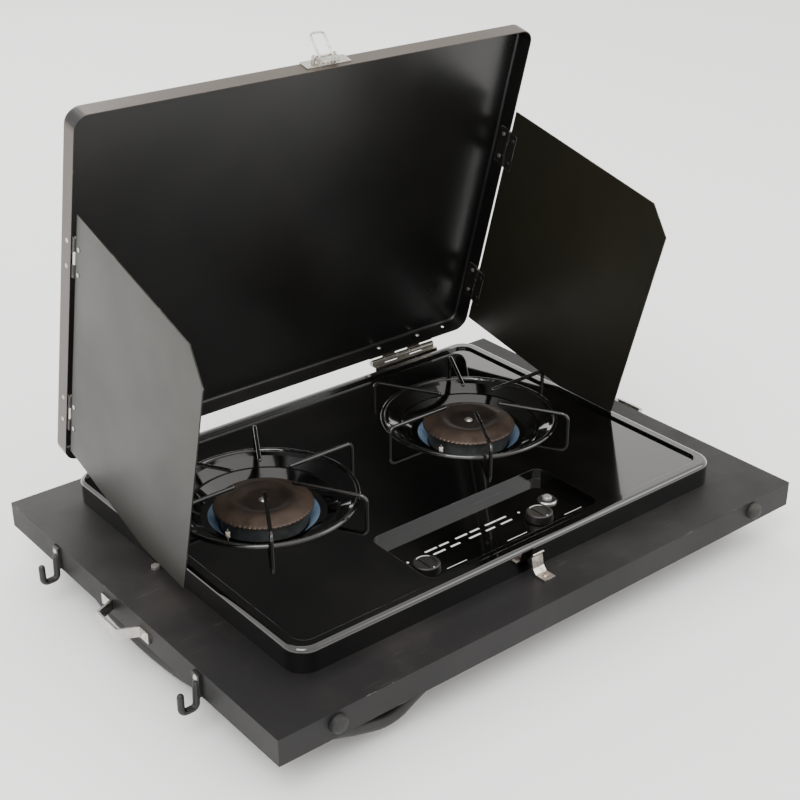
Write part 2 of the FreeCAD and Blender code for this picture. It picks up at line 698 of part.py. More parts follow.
def make_keeper():
    """Bent strip that the lid's latch hooks on: foot, upright, lip."""
    line = [(KEEPER_Y - 6.5, up(0) + 0.75), (KEEPER_Y + 6.0, up(0) + 0.75), (KEEPER_Y + 10.5, up(6.0)),
            (KEEPER_Y + 13.0, up(18.0)), (KEEPER_Y + 10.5, up(21.5))]
    strip = prism([V(KEEPER_X - KEEPER_W / 2, a, b) for a, b in ribbon(line, 1.5)], X * KEEPER_W)
    strip = strip.cut(rod(KEEPER_RIVET, V(KEEPER_X, KEEPER_Y, up(-3)), V(KEEPER_X, KEEPER_Y, up(4))))
    save("keeper", strip)
    seat = V(KEEPER_X, KEEPER_Y, up(0) + 1.5)
    save("keeper_rivet", dome_screw(3.4, 1.8, KEEPER_RIVET, seat, Z, 1.5 + SHEET + 1.5))


# ---------------------------------------------------------------- lid hinges
HINGE_SCREW = 1.6
HINGE_SCREW_H = 13.0
KNUCKLES = 5


def knuckle_span(i):
    """Start and end of knuckle i along the hinge, with running gaps between."""
    step = HINGE_L / KNUCKLES
    return i * step + GAP / 2, (i + 1) * step - GAP / 2


def make_lid_hinges():
    lower, upper, pins, screws, rivets = [], [], [], [], []
    axis_z = up(HINGE_H)
    lean = math.radians(LID_LEAN)
    dy, dz = HINGE_Y - LID_Y, HINGE_H - LID_H
    hu = -math.sin(lean) * dy + math.cos(lean) * dz
    hv = -math.cos(lean) * dy - math.sin(lean) * dz
    for side in (-1, 1):
        x0 = side * HINGE_X - HINGE_L / 2
        x1 = x0 + HINGE_L
        plate = block(x0, x1, COOK_Y1, COOK_Y1 + LEAF, up(6.0), axis_z - HINGE_BARREL + LEAF)
        shelf = block(x0, x1, COOK_Y1, HINGE_Y - HINGE_BARREL - GAP * 2, axis_z - HINGE_BARREL,
                      axis_z - HINGE_BARREL + LEAF)
        low = plate.fuse(shelf)
        web0, web1 = hv - HINGE_BARREL, hv - HINGE_BARREL + LEAF
        high = block(x0, x1, -LEAF, 0, -LID_T + 2.5, web1).fuse(
            block(x0, x1, hu + HINGE_BARREL + GAP * 2, 0, web0, web1))
        for i in range(KNUCKLES):
            a, b = knuckle_span(i)
            if i % 2 == 0:
                ring = rod(HINGE_BARREL, V(x0 + a, HINGE_Y, axis_z), V(x0 + b, HINGE_Y, axis_z))
                tab = block(x0 + a, x0 + b, COOK_Y1, HINGE_Y, axis_z - HINGE_BARREL,
                            axis_z - HINGE_BARREL + LEAF)
                low = low.fuse(ring).fuse(tab)
            else:
                ring = rod(HINGE_BARREL, V(x0 + a, hu, hv), V(x0 + b, hu, hv))
                high = high.fuse(ring).fuse(block(x0 + a, x0 + b, hu, 0, web0, web1))
        low = low.cut(rod(HINGE_PIN, V(x0 - 1, HINGE_Y, axis_z), V(x1 + 1, HINGE_Y, axis_z)))
        high = high.cut(rod(HINGE_PIN + RUN, V(x0 - 1, hu, hv), V(x1 + 1, hu, hv)))
        for sx in (-30, 30):
            x = side * HINGE_X + sx
            low = low.cut(rod(HINGE_SCREW, V(x, COOK_Y1 - 2, up(HINGE_SCREW_H)),
                              V(x, COOK_Y1 + 3, up(HINGE_SCREW_H))))
            screws.append(dome_screw(3.2, 1.6, HINGE_SCREW, V(x, COOK_Y1 + LEAF, up(HINGE_SCREW_H)),
                                     Y, LEAF + ENAMEL + 3))
            high = high.cut(rod(HINGE_SCREW, V(x, -3, LID_RIVET_V), V(x, 1, LID_RIVET_V)))
            rivets.append(dome_screw(2.8, 1.3, HINGE_SCREW, V(x, LID_SHEET, LID_RIVET_V),
                                     Y, LID_SHEET + LEAF))
        lower.append(low.removeSplitter())
        upper.append(high.removeSplitter())
        pin = rod(HINGE_PIN, V(x0 - 0.8, HINGE_Y, axis_z), V(x1 + 0.8, HINGE_Y, axis_z))
        pins.append(pin)
    save("hinge_leaves_lower", lower)
    save("hinge_leaves_upper", on_lid(*upper))
    save("hinge_pins", pins)
    save("hinge_screws", screws)
    LID_RIVETS.extend(on_lid(*rivets))


LID_RIVET_V = -12.5


# ---------------------------------------------------------------- lid
def make_lid():
    half = LID_W / 2
    shell = rounded(-half, half, 0, LID_L, -LID_T, 0, LID_R)
    edges = [e for e in shell.Edges if e.BoundBox.ZMax < -LID_T + 0.01]
    shell = shell.makeFillet(4.0, edges)
    hollow = rounded(-half + LID_SHEET, half - LID_SHEET, LID_SHEET, LID_L - LID_SHEET,
                     -LID_T + LID_SHEET, 1, LID_R - LID_SHEET)
    edges = [e for e in hollow.Edges if e.BoundBox.ZMax < -LID_T + LID_SHEET + 0.01]
    shell = shell.cut(hollow.makeFillet(4.0 - LID_SHEET, edges))
    for side in (-1, 1):
        for sx in (-30, 30):
            x = side * HINGE_X + sx
            shell = shell.cut(rod(HINGE_SCREW, V(x, -1, LID_RIVET_V), V(x, 3, LID_RIVET_V)))
        for s in screen_rivets():
            shell = shell.cut(rod(SCREEN_RIVET, V(side * (half - 3), s, SCREEN_RIVET_V),
                                  V(side * (half + 1), s, SCREEN_RIVET_V)))
        x = side * 249.0
        shell = shell.cut(rod(2.0, V(x, -1, LID_RIVET_V), V(x, 3, LID_RIVET_V)))
    for x in latch_rivets():
        shell = shell.cut(rod(LATCH_RIVET, V(x, LID_L - 3, LATCH_V), V(x, LID_L + 1, LATCH_V)))
    save("lid_shell", on_lid(shell))


SCREEN_RIVET = 1.4
SCREEN_RIVET_V = -7.0
LATCH_RIVET = 1.5
LATCH_V = -13.0


def screen_rivets():
    return [s + d for s in SCREEN_HINGE_S for d in (-14.0, 14.0)]


def latch_rivets():
    return [LATCH_X - LATCH_W / 2 + 6, LATCH_X + LATCH_W / 2 - 6]


# ---------------------------------------------------------------- wind screens
def screen_axis():
    """Hinge axis of a screen in the lid's frame: distance from the middle, and height."""
    return LID_W / 2 - LID_SHEET - SCREEN_BARREL - GAP / 2, SCREEN_BARREL + 0.4


def turn_about_screen_axis(solid, side, degrees):
    x, v = screen_axis()
    moved = solid.copy()
    moved.rotate(V(side * x, 0, v), Y, degrees)
    return moved


def make_screen(side, name):
    ax, av = screen_axis()
    ax *= side
    near = SCREEN_BARREL + 0.8
    half = SCREEN_SHEET / 2
    outline = [(near, SCREEN_LOW_S), (SCREEN_HEEL_D, SCREEN_HEEL_S), (SCREEN_REACH, SCREEN_TOE_S),
               (SCREEN_REACH - 1.0, SCREEN_NOSE_S), (SCREEN_TIP_D, SCREEN_TIP_S), (near, SCREEN_TOP_S)]
    panel = prism([V(ax - half, s, av + d) for d, s in outline], X * SCREEN_SHEET)
    face = ax - side * half
    splay = side * SCREEN_SPLAY[0 if side < 0 else 1]
    wall = side * (LID_W / 2 - LID_SHEET)
    leaves, plates, pins, rivets, studs = [], [], [], [], []
    for s in SCREEN_HINGE_S:
        s0, s1 = s - SCREEN_HINGE_L / 2, s + SCREEN_HINGE_L / 2
        third = SCREEN_HINGE_L / 3
        ring = [rod(SCREEN_BARREL, V(ax, s0, av), V(ax, s0 + third - GAP / 2, av)),
                rod(SCREEN_BARREL, V(ax, s1 - third + GAP / 2, av), V(ax, s1, av))]
        x0, x1 = sorted((wall, wall - side * 0.8))
        leaf = block(x0, x1, s0, s1, -13.0, -0.5)
        for barrel, (a, b) in zip(ring, ((s0, s0 + third - GAP / 2), (s1 - third + GAP / 2, s1))):
            leaf = leaf.fuse(barrel).fuse(block(x0, x1, a, b, -0.5, av))
            foot = prism([V(wall, a, av - 1.6), V(wall - side * 0.8, a, av - 1.6),
                          V(ax, a, av - 1.1), V(ax, a, av + 0.4), V(wall, a, av + 0.4)], Y * (b - a))
            leaf = leaf.fuse(foot)
        leaf = leaf.cut(rod(SCREEN_PIN, V(ax, s0 - 1, av), V(ax, s1 + 1, av)))
        for d in (-14.0, 14.0):
            leaf = leaf.cut(rod(SCREEN_RIVET, V(wall - side * 3, s + d, SCREEN_RIVET_V),
                                V(wall, s + d, SCREEN_RIVET_V)))
            head = dome_screw(2.6, 1.1, SCREEN_RIVET, V(wall + side * LID_SHEET, s + d, SCREEN_RIVET_V),
                              X * side, LID_SHEET + 0.8)
            tail = rod(2.3, V(wall - side * 0.8, s + d, SCREEN_RIVET_V),
                       V(wall - side * 1.5, s + d, SCREEN_RIVET_V))
            rivets.append(head.fuse(tail))
        leaves.append(leaf.removeSplitter())
        pins.append(rod(SCREEN_PIN, V(ax, s0 - 0.6, av), V(ax, s1 + 0.6, av)))
        a, b = s0 + third + GAP / 2, s1 - third - GAP / 2
        p0, p1 = sorted((face, face - side * 0.8))
        plate = block(p0, p1, s0, s1, av + near, av + 14.0)
        plate = plate.fuse(rod(SCREEN_BARREL, V(ax, a, av), V(ax, b, av)))
        plate = plate.fuse(block(p0, p1, a, b, av, av + near))
        plate = plate.cut(rod(SCREEN_PIN + RUN, V(ax, s0 - 1, av), V(ax, s1 + 1, av)))
        for d in (-14.0, 14.0):
            at = V(face - side * 0.8, s + d, av + 9.0)
            hole = rod(SCREEN_RIVET, V(at.x + side * 4, at.y, at.z), V(at.x - side * 2, at.y, at.z))
            plate = plate.cut(hole)
            panel = panel.cut(hole)
            head = dome_screw(2.6, 1.1, SCREEN_RIVET, at, X * -side, 0.8 + SCREEN_SHEET)
            tail = rod(2.3, V(face + side * SCREEN_SHEET, at.y, at.z),
                       V(face + side * (SCREEN_SHEET + 0.7), at.y, at.z))
            studs.append(head.fuse(tail))
        plates.append(plate.removeSplitter())
    LID_LEAVES.extend(on_lid(*leaves))
    SCREEN_PINS.extend(on_lid(*pins))
    LID_RIVETS.extend(on_lid(*rivets))
    turned_panel = turn_about_screen_axis(panel, side, splay)
    turned_plates = [turn_about_screen_axis(p, side, splay) for p in plates]
    turned_studs = [turn_about_screen_axis(p, side, splay) for p in studs]
    save("wind_screen_" + name, on_lid(turned_panel))
    save("screen_leaves_" + name, on_lid(*turned_plates))
    save("screen_studs_" + name, on_lid(*turned_studs))


# ---------------------------------------------------------------- latch
EAR = 1.2
LEVER_PIN = 1.2


def latch_axis():
    """Lever pivot in the lid's frame: height over the front wall, and depth."""
    return LID_L + LATCH_PLATE + 4.4, -LID_T + 5.0


def bail_axis():
    s, v = latch_axis()
    return s, v + 4.6


def make_latch():
    s, v = latch_axis()
    wall = LID_L
    x0, x1 = LATCH_X - LATCH_W / 2, LATCH_X + LATCH_W / 2
    lx0, lx1 = LATCH_X - LEVER_W / 2, LATCH_X + LEVER_W / 2
    plate = block(x0, x1, wall, wall + LATCH_PLATE, -LID_T + 1.5, -LID_T + 1.5 + LATCH_D)
    for ear in (lx0 - GAP - EAR, lx1 + GAP):
        plate = plate.fuse(block(ear, ear + EAR, wall, s, v - 2.6, v + 2.6))
        plate = plate.fuse(rod(2.6, V(ear, s, v), V(ear + EAR, s, v)))
    plate = plate.cut(rod(LEVER_PIN, V(x0, s, v), V(x1, s, v)))
    for x in latch_rivets():
        plate = plate.cut(rod(LATCH_RIVET, V(x, wall - 1, LATCH_V), V(x, wall + 3, LATCH_V)))
    save("latch_base", on_lid(plate.removeSplitter()))
    pin = rod(LEVER_PIN, V(lx0 - GAP - EAR - 0.8, s, v), V(lx1 + GAP + EAR + 0.8, s, v))
    save("latch_pin", on_lid(pin))
    seats = [dome_screw(3.0, 1.4, LATCH_RIVET, V(x, wall + LATCH_PLATE, LATCH_V), Y,
                        LATCH_PLATE + LID_SHEET + 1) for x in latch_rivets()]
    LID_RIVETS.extend(on_lid(*seats))
    top = s + 2.6
    lever = block(lx0, lx1, top - 1.4, top, v - 2.6, v + LEVER_L)
    for x in (lx0, lx1 - 1.4):
        lever = lever.fuse(block(x, x + 1.4, s - 2.4, top, v - 2.6, v + LEVER_L - 4))
    for i in range(5):
        x = lx0 + 3.0 + i * (LEVER_W - 7.4) / 4
        lever = lever.fuse(block(x, x + 1.4, top - 3.4, top + 0.6, v + LEVER_L - 3, v + LEVER_L))
    lever = lever.cut(rod(LEVER_PIN + RUN, V(lx0 - 1, s, v), V(lx1 + 1, s, v)))
    bs, bv = bail_axis()
    lever = lever.cut(rod(BAIL_R + RUN, V(lx0 - 1, bs, bv), V(lx1 + 1, bs, bv)))
    half = BAIL_W / 2
    wide = LEVER_W / 2
    slot = block(LATCH_X - half - 4, LATCH_X + half + 4, top - 2, top + 1, v - 3, v + 6.5)
    lever = lever.cut(slot)
    save("latch_lever", on_lid(lever.removeSplitter()))
    lean = math.radians(38)
    far = V(0, math.sin(lean) * BAIL_L, -math.cos(lean) * BAIL_L)
    axis = V(LATCH_X, bs, bv)
    left = axis.sub(X * (wide - 0.2))
    right = axis.add(X * (wide - 0.2))
    elbow_l = axis.sub(X * (half - 1))
    elbow_r = axis.add(X * (half - 1))
    wire = bent_rod([left, elbow_l, elbow_l.add(far), elbow_r.add(far), elbow_r, right],
                    [2.4, 3.5, 3.5, 2.4], BAIL_R)
    save("latch_bail", on_lid(wire))


# ---------------------------------------------------------------- gas hose
def hose_points():
    """Route of the hose: out of the inlet, slack along the left, round to the front."""
    z = up(INLET_H)
    return [V(-BOX_X - 8, INLET_Y, z), V(-HOSE_STUB, INLET_Y, z), V(HOSE_X, INLET_Y - 34, up(-42)),
            V(HOSE_X, 78, up(-56)), V(HOSE_X + 1, 12, up(-62)), V(HOSE_X, -62, up(-54)),
            V(HOSE_X, -124, up(-35)), V(HOSE_X + 2, -184, up(-30)), V(-280, HOSE_Y + 2, up(-30)),
            V(-240, HOSE_Y, up(-43)), V(-203, HOSE_Y, up(-52.5)), V(-168, HOSE_Y, up(-33)),
            V(-130, HOSE_Y + 1, up(-19)), V(-92, HOSE_Y + 2, up(-13.5))]


HOSE_STUB = 300.0


def make_hose():
    points = hose_points()
    bends = free_bends(points)
    print("hose bend radii", [round(b, 1) for b in bends])
    hose = bent_rod(points, bends, HOSE_R)
    length = bent_path(points, bends).Length
    print("hose length", round(length, 1), "volume ratio",
          round(hose.Volume / (math.pi * HOSE_R ** 2 * length), 4))
    save("gas_hose", hose)
    end = points[-1]
    run = end.sub(points[-2]).normalize()
    ferrule = rod(HOSE_R + 1.0, end, end.add(run * 12))
    plug = rod(4.6, end.add(run * 12), end.add(run * 30)).fuse(rod(5.8, end.add(run * 16), end.add(run * 20)))
    save("hose_plug", ferrule.fuse(plug))
    save("hose_clips", hose_clips())


def hose_clips():
    """Clips that hold the hose up under the tray: a strap round it and a tail to the sheet."""
    points = hose_points()
    bends = free_bends(points)
    path = bent_path(points, bends)
    clips = []
    for i in (6, 11):
        mid = points[i].add(points[i + 1]) * 0.5
        run = points[i + 1].sub(points[i]).normalize()
        ring = tube(HOSE_R + 1.2, HOSE_R, mid.sub(run * 5), mid.add(run * 5))
        top = up(-SHEET)
        flat = V(run.x, run.y, 0).normalize()
        across = V(-flat.y, flat.x, 0)
        corners = [mid.add(flat * a).add(across * b) for a, b in ((-5, -1), (5, -1), (5, 1), (-5, 1))]
        tail = prism([V(c.x, c.y, mid.z + HOSE_R + 0.4) for c in corners], Z * (top - mid.z - HOSE_R - 0.4))
        clips.append(ring.fuse(tail).removeSplitter())
    return clips


# ---------------------------------------------------------------- build
make_tray()
make_burner_box()
make_box_bolts()
make_cooktop()
for hand, label in ((-1, "left"), (1, "right")):
    make_burner(hand, label)
    make_venturi(hand, label)
    make_pan_supports(hand, label)
    make_screen(hand, label)
    make_knob(KNOB_X[0 if hand < 0 else 1], label)
make_electrodes()
make_gas_train()
make_igniter()
make_side_fittings()
make_bumpers()
make_keeper()
make_lid_hinges()
make_lid()
make_latch()
make_hose()
save("cap_screws", CAP_SCREWS)
save("push_nuts", PUSH_NUTS)
save("lid_rivets", LID_RIVETS)
save("screen_leaves_lid", LID_LEAVES)
save("screen_pins", SCREEN_PINS)
print("nodes", len(os.listdir("parts")))
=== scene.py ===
"""Looks of the two-burner camping stove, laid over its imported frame.

Metres, in the stove's own frame: +X the cook's right, +Y the hinge side, +Z up.
"""
import json
import math
import bmesh
import bpy
import numpy as np
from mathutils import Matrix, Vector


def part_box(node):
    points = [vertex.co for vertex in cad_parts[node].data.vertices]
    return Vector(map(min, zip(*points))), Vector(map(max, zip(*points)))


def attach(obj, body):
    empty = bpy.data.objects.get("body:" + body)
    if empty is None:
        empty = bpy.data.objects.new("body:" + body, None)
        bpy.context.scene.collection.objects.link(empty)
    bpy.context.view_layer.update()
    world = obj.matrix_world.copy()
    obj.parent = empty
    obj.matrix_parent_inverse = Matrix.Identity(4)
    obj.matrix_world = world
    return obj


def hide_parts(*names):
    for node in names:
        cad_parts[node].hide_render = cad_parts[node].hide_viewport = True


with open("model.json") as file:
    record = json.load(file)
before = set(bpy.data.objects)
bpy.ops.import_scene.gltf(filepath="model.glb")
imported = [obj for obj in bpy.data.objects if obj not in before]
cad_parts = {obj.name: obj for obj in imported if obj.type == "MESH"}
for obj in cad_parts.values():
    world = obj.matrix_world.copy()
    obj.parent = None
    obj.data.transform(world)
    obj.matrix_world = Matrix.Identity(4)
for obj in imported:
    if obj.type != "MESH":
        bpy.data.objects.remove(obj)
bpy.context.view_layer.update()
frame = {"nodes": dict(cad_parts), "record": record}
RECORD = frame["record"]
NODES = frame["nodes"]
TAU = 2 * math.pi
CAMERA_PLACE = (-0.8289, -1.0145, 0.8354)
CAMERA_TURN = (63.44, 0.11, -39.10)     # degrees about X, Y, Z
CAMERA_LENS = 64.78
LID_ALONG = (0.0, -0.2571, 0.9664)      # direction from the open lid's hinge edge to its free edge
LID_LIP = (0.0, 0.2184, 0.1109)         # a point of the lid's lower lip edge
LID_LENGTH = 0.3998
LID_SKIN = 0.0006                       # depth of the lighter outside of the lid's walls: painted highlight and wear
KNOB_CLEARANCE = 0.0008                 # knob's underside above the recess floor
PRINT_LIFT = 0.00003
PRINT_TOP = 0.00012
CAP_RADIUS = 0.0519                     # radius the cap's section is drawn for


# ------------------------------------------------------------------ camera
def place_camera():
    """Looks down over the left front corner of the tray."""
    data = bpy.data.cameras.new("stove_camera")
    data.lens = CAMERA_LENS
    data.sensor_width = 36.0
    data.clip_end = 50.0
    camera = bpy.data.objects.new("stove_camera", data)
    camera.location = CAMERA_PLACE
    camera.rotation_euler = [math.radians(turn) for turn in CAMERA_TURN]
    bpy.context.scene.collection.objects.link(camera)
    bpy.context.scene.camera = camera


# ------------------------------------------------------------------ node tools
def add_node(tree, kind, inputs=None, **settings):
    """A node of that kind, with its settings, and its sockets set or linked by name or number."""
    made = tree.nodes.new(kind)
    for key, value in settings.items():
        setattr(made, key, value)
    for key, value in (inputs or {}).items():
        socket = made.inputs[key]
        if isinstance(value, bpy.types.NodeSocket):
            tree.links.new(value, socket)
        else:
            socket.default_value = value
    return made


def maths(tree, operation, a, b=0.0, clamp=False):
    made = add_node(tree, "ShaderNodeMath", {0: a, 1: b}, operation=operation, use_clamp=clamp)
    return made.outputs[0]


def ramp(tree, value, low, high, to_low=0.0, to_high=1.0):
    """Smooth step of value from low..high to to_low..to_high."""
    made = add_node(tree, "ShaderNodeMapRange", {"Value": value, "From Min": low, "From Max": high,
                                                 "To Min": to_low, "To Max": to_high},
                    interpolation_type="SMOOTHSTEP")
    return made.outputs[0]


def mix(tree, factor, a, b):
    made = add_node(tree, "ShaderNodeMix", data_type="RGBA")
    for socket, value in ((made.inputs[0], factor), (made.inputs[6], a), (made.inputs[7], b)):
        if isinstance(value, bpy.types.NodeSocket):
            tree.links.new(value, socket)
        else:
            socket.default_value = value
    return made.outputs[2]


def noise(tree, place, scale, detail=4.0, rough=0.55):
    made = add_node(tree, "ShaderNodeTexNoise", {"Vector": place, "Scale": scale, "Detail": detail,
                                                 "Roughness": rough})
    return made.outputs["Fac"]


def new_group(name, inputs, outputs):
    """An empty shader group; inputs are (name, default) and outputs are names."""
    tree = bpy.data.node_groups.new(name, "ShaderNodeTree")
    for label, default in inputs:
        socket = tree.interface.new_socket(label, in_out="INPUT", socket_type="NodeSocketFloat")
        socket.default_value = default
    for label, kind in outputs:
        tree.interface.new_socket(label, in_out="OUTPUT", socket_type=kind)
    source = tree.nodes.new("NodeGroupInput")
    sink = tree.nodes.new("NodeGroupOutput")
    return tree, source.outputs, sink.inputs


def edge_wear_group():
    """Mask of worn edges: where the rounded normal leaves the true one, broken up by noise."""
    tree, given, out = new_group("edge wear", [("Width", 0.0008), ("Break", 60.0), ("Amount", 0.5)],
                                 [("Mask", "NodeSocketFloat")])
    place = add_node(tree, "ShaderNodeTexCoord").outputs["Object"]
    bevel = add_node(tree, "ShaderNodeBevel", {"Radius": given["Width"]}, samples=4)
    true = add_node(tree, "ShaderNodeNewGeometry").outputs["Normal"]
    dot = add_node(tree, "ShaderNodeVectorMath", {0: bevel.outputs[0], 1: true}, operation="DOT_PRODUCT")
    edge = ramp(tree, dot.outputs["Value"], 0.995, 0.86)
    broken = noise(tree, place, given["Break"], 5.0)
    low = maths(tree, "SUBTRACT", 0.78, maths(tree, "MULTIPLY", given["Amount"], 0.5))
    high = maths(tree, "ADD", low, 0.1)
    chips = ramp(tree, broken, low, high)
    tree.links.new(maths(tree, "MULTIPLY", edge, chips), out["Mask"])
    return tree


def grain_group():
    """Height of a fine even grain: two sizes of noise added."""
    tree, given, out = new_group("grain", [("Scale", 900.0), ("Coarse", 0.4)],
                                 [("Height", "NodeSocketFloat")])
    place = add_node(tree, "ShaderNodeTexCoord").outputs["Object"]
    fine = noise(tree, place, given["Scale"], 2.0)
    wide = noise(tree, place, maths(tree, "MULTIPLY", given["Scale"], 0.27), 3.0)
    both = maths(tree, "ADD", maths(tree, "MULTIPLY", wide, given["Coarse"]), fine)
    tree.links.new(both, out["Height"])
    return tree


def dust_group():
    """Mask of settled dust: faces that look up, patchy, with small bright specks."""
    tree, given, out = new_group("dust", [("Amount", 0.3), ("Specks", 0.3)], [("Mask", "NodeSocketFloat")])
    place = add_node(tree, "ShaderNodeTexCoord").outputs["Object"]
    true = add_node(tree, "ShaderNodeNewGeometry").outputs["Normal"]
    rise = add_node(tree, "ShaderNodeSeparateXYZ", {0: true}).outputs["Z"]
    facing = ramp(tree, rise, 0.2, 0.95, 0.25, 1.0)
    patch = ramp(tree, noise(tree, place, 9.0, 6.0, 0.6), 0.40, 0.75)
    film = maths(tree, "MULTIPLY", maths(tree, "MULTIPLY", facing, patch), given["Amount"])
    cells = add_node(tree, "ShaderNodeTexVoronoi", {"Vector": place, "Scale": 260.0})
    some = ramp(tree, noise(tree, place, 31.0, 3.0), 0.52, 0.6)
    speck = maths(tree, "MULTIPLY", ramp(tree, cells.outputs["Distance"], 0.11, 0.06), some)
    speck = maths(tree, "MULTIPLY", maths(tree, "MULTIPLY", speck, facing), given["Specks"])
    tree.links.new(maths(tree, "ADD", film, speck, True), out["Mask"])
    return tree


def scratch_group():
    """Mask of fine scratches: noise stretched along two slanting directions, kept where it peaks."""
    tree, given, out = new_group("scratches", [("Scale", 22.0), ("Amount", 0.3)],
                                 [("Mask", "NodeSocketFloat")])
    place = add_node(tree, "ShaderNodeTexCoord").outputs["Object"]
    total = None
    for angle, stretch in ((0.5, 26.0), (-0.9, 34.0)):
        turn = add_node(tree, "ShaderNodeMapping", {"Vector": place, "Rotation": (0.0, 0.0, angle),
                                                    "Scale": (1.0, stretch, stretch * 0.6)})
        lines = ramp(tree, noise(tree, turn.outputs[0], given["Scale"], 2.0), 0.68, 0.72)
        total = lines if total is None else maths(tree, "MAXIMUM", total, lines)
    where = ramp(tree, noise(tree, place, 7.0, 4.0), 0.5, 0.68)
    mask = maths(tree, "MULTIPLY", maths(tree, "MULTIPLY", total, where), given["Amount"])
    tree.links.new(mask, out["Mask"])
    return tree


def rust_group():
    """Mask of rust blooms: thresholded noise inside wider patches."""
    tree, given, out = new_group("rust", [("Amount", 0.3), ("Scale", 120.0)], [("Mask", "NodeSocketFloat")])
    place = add_node(tree, "ShaderNodeTexCoord").outputs["Object"]
    low = maths(tree, "SUBTRACT", 0.80, maths(tree, "MULTIPLY", given["Amount"], 0.5))
    blooms = ramp(tree, noise(tree, place, given["Scale"], 7.0, 0.65), low, maths(tree, "ADD", low, 0.12))
    tree.links.new(blooms, out["Mask"])
    return tree


def soft_edge_group():
    """Normal with a small radius laid over every sharp edge."""
    tree, given, out = new_group("soft edge", [("Radius", 0.0004)], [("Normal", "NodeSocketVector")])
    bevel = add_node(tree, "ShaderNodeBevel", {"Radius": given["Radius"]}, samples=6)
    tree.links.new(bevel.outputs[0], out["Normal"])
    return tree


EFFECTS = {"wear": edge_wear_group(), "grain": grain_group(), "dust": dust_group(),
           "scratch": scratch_group(), "rust": rust_group(), "soft": soft_edge_group()}


def effect(tree, name, **values):
    made = tree.nodes.new("ShaderNodeGroup")
    made.node_tree = EFFECTS[name]
    for key, value in values.items():
        made.inputs[key].default_value = value
    return made.outputs[0]


def rgb(r, g, b):
    """Linear colour from 0..255 display values."""
    def channel(v):
        v = v / 255.0
        return v / 12.92 if v <= 0.04045 else ((v + 0.055) / 1.055) ** 2.4
    return (channel(r), channel(g), channel(b), 1.0)


DUST = rgb(150, 144, 132)
RUST = rgb(112, 54, 26)
BARE = rgb(150, 148, 142)


# ------------------------------------------------------------------ materials
def finish(name, base, second, rough=0.4, metal=0.0, coat=0.0, coat_rough=0.05, patch=6.0, grain=900.0,
           bump=0.1, wear=0.4, wear_colour=BARE, width=0.0009, dust=0.2, specks=0.2, scratch=0.2, rust=0.0,
           specular=0.5, soft=0.0004, tint=None):
    """One surface: two tones in patches, then scratches, worn edges, rust and dust over them."""
    material = bpy.data.materials.new(name)
    material.use_nodes = True
    tree = material.node_tree
    tree.nodes.clear()
    shader = tree.nodes.new("ShaderNodeBsdfPrincipled")
    output = tree.nodes.new("ShaderNodeOutputMaterial")
    tree.links.new(shader.outputs[0], output.inputs["Surface"])
    place = add_node(tree, "ShaderNodeTexCoord").outputs["Object"]
    cloud = ramp(tree, noise(tree, place, patch, 6.0, 0.6), 0.3, 0.7)
    colour = mix(tree, cloud, base, second)
    if tint is not None:
        colour = tint(tree, place, colour)
    marks = effect(tree, "scratch", Amount=scratch)
    colour = mix(tree, marks, colour, wear_colour)
    worn = effect(tree, "wear", Amount=wear, Width=width)
    colour = mix(tree, worn, colour, wear_colour)
    if rust > 0:
        rusty = effect(tree, "rust", Amount=rust)
        colour = mix(tree, rusty, colour, RUST)
    dusty = effect(tree, "dust", Amount=dust, Specks=specks)
    colour = mix(tree, dusty, colour, DUST)
    tree.links.new(colour, shader.inputs["Base Color"])
    uneven = maths(tree, "MULTIPLY_ADD", cloud, 0.10)
    uneven.node.inputs[2].default_value = rough - 0.05
    level = maths(tree, "ADD", uneven, maths(tree, "MULTIPLY", dusty, 0.45))
    if rust > 0:
        level = maths(tree, "ADD", level, maths(tree, "MULTIPLY", rusty, 0.5), True)
        if metal > 0:
            bare = maths(tree, "SUBTRACT", metal, maths(tree, "MULTIPLY", rusty, metal), True)
            tree.links.new(bare, shader.inputs["Metallic"])
    else:
        shader.inputs["Metallic"].default_value = metal
    tree.links.new(level, shader.inputs["Roughness"])
    shader.inputs["Specular IOR Level"].default_value = specular
    shader.inputs["Coat Weight"].default_value = coat
    shader.inputs["Coat Roughness"].default_value = coat_rough
    height = effect(tree, "grain", Scale=grain)
    bumped = add_node(tree, "ShaderNodeBump", {"Strength": bump, "Distance": 0.0004, "Height": height,
                                               "Normal": effect(tree, "soft", Radius=soft)})
    tree.links.new(bumped.outputs[0], shader.inputs["Normal"])
    return material


def heat_rings(tree, place, colour):
    """Browning that grows towards the edge of each burner cap."""
    total = None
    for node in ("burner_cap_left", "burner_cap_right"):
        low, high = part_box(node)
        centre = (low + high) * 0.5
        away = add_node(tree, "ShaderNodeVectorMath", {0: place, 1: (centre.x, centre.y, centre.z)},
                        operation="DISTANCE").outputs["Value"]
        total = away if total is None else maths(tree, "MINIMUM", total, away)
    ring = ramp(tree, total, 0.024, 0.046)
    patchy = maths(tree, "MULTIPLY", ring, ramp(tree, noise(tree, place, 55.0, 6.0), 0.25, 0.65, 0.35, 1.0))
    return mix(tree, patchy, colour, rgb(88, 74, 64))


def lid_outside_highlight_and_wear(tree, place, colour):
    """The lid's outer walls are tinted lighter brown-grey, partly wear and partly a painted highlight where light
    falls on them: wide of the inner walls, or above the top wall's inner face.
    """
    parts = add_node(tree, "ShaderNodeSeparateXYZ", {0: place}).outputs
    low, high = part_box("lid_shell")
    sides = maths(tree, "GREATER_THAN", maths(tree, "ABSOLUTE", parts["X"]), high.x - LID_SKIN)
    along = add_node(tree, "ShaderNodeVectorMath", {0: place, 1: LID_ALONG},
                     operation="DOT_PRODUCT").outputs["Value"]
    lip = float(np.dot(LID_ALONG, LID_LIP))
    top = maths(tree, "GREATER_THAN", along, lip + LID_LENGTH - LID_SKIN)
    # lighter brown-grey outer walls: painted highlight and wear
    return mix(tree, maths(tree, "MAXIMUM", sides, top), colour, rgb(62, 52, 44))


